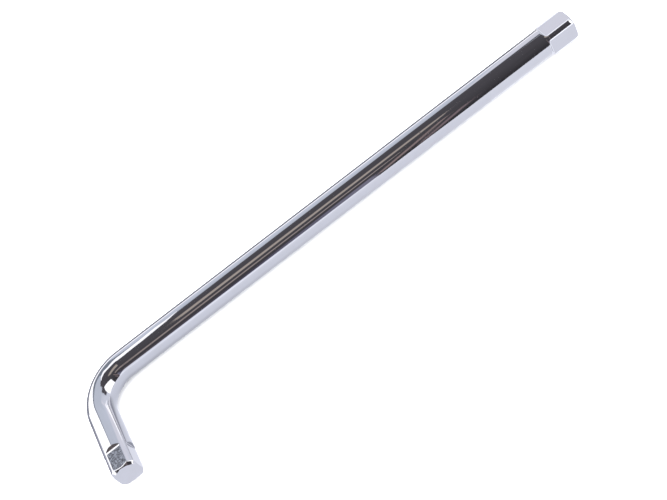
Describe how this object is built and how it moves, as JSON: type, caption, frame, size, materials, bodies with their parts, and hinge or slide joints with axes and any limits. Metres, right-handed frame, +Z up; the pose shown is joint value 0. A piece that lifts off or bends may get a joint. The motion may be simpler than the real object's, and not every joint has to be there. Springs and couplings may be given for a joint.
{
  "type": "l-shaped socket handle",
  "caption": "Round chrome bar bent at a right angle, with a square drive and a sprung detent ball on each end, for turning sockets by hand.",
  "frame": {"origin": "under the middle of the handle's box, on the surface that it lies on", "axes": "+X along the long leg towards its square, -Y along the short leg towards its square, +Z up"},
  "size_m": [0.3076, 0.066, 0.015],
  "materials": {
    "chrome_plate": "bright chrome plate over forged steel, with a coarser grey plate on the milled flats",
    "ball_steel": "polished bearing steel",
    "spring_steel": "drawn spring wire"
  },
  "bodies": {
    "handle": {"handle_bar": "chrome_plate", "long_drive_spring": "spring_steel", "short_drive_spring": "spring_steel"},
    "long_ball": {"long_drive_ball": "ball_steel"},
    "short_ball": {"short_drive_ball": "ball_steel"}
  },
  "joints": [
    {"name": "long_ball_press", "type": "slide", "parent": "handle", "child": "long_ball", "axis": [0, 1, 0], "range_m": [-0.0011, 0], "stiffness_N_per_m": 3000, "springref_m": 0.003, "deforming": ["long_drive_spring"]},
    {"name": "short_ball_press", "type": "slide", "parent": "handle", "child": "short_ball", "axis": [-1, 0, 0], "range_m": [-0.0011, 0], "stiffness_N_per_m": 3000, "springref_m": 0.003, "deforming": ["short_drive_spring"]}
  ]
}
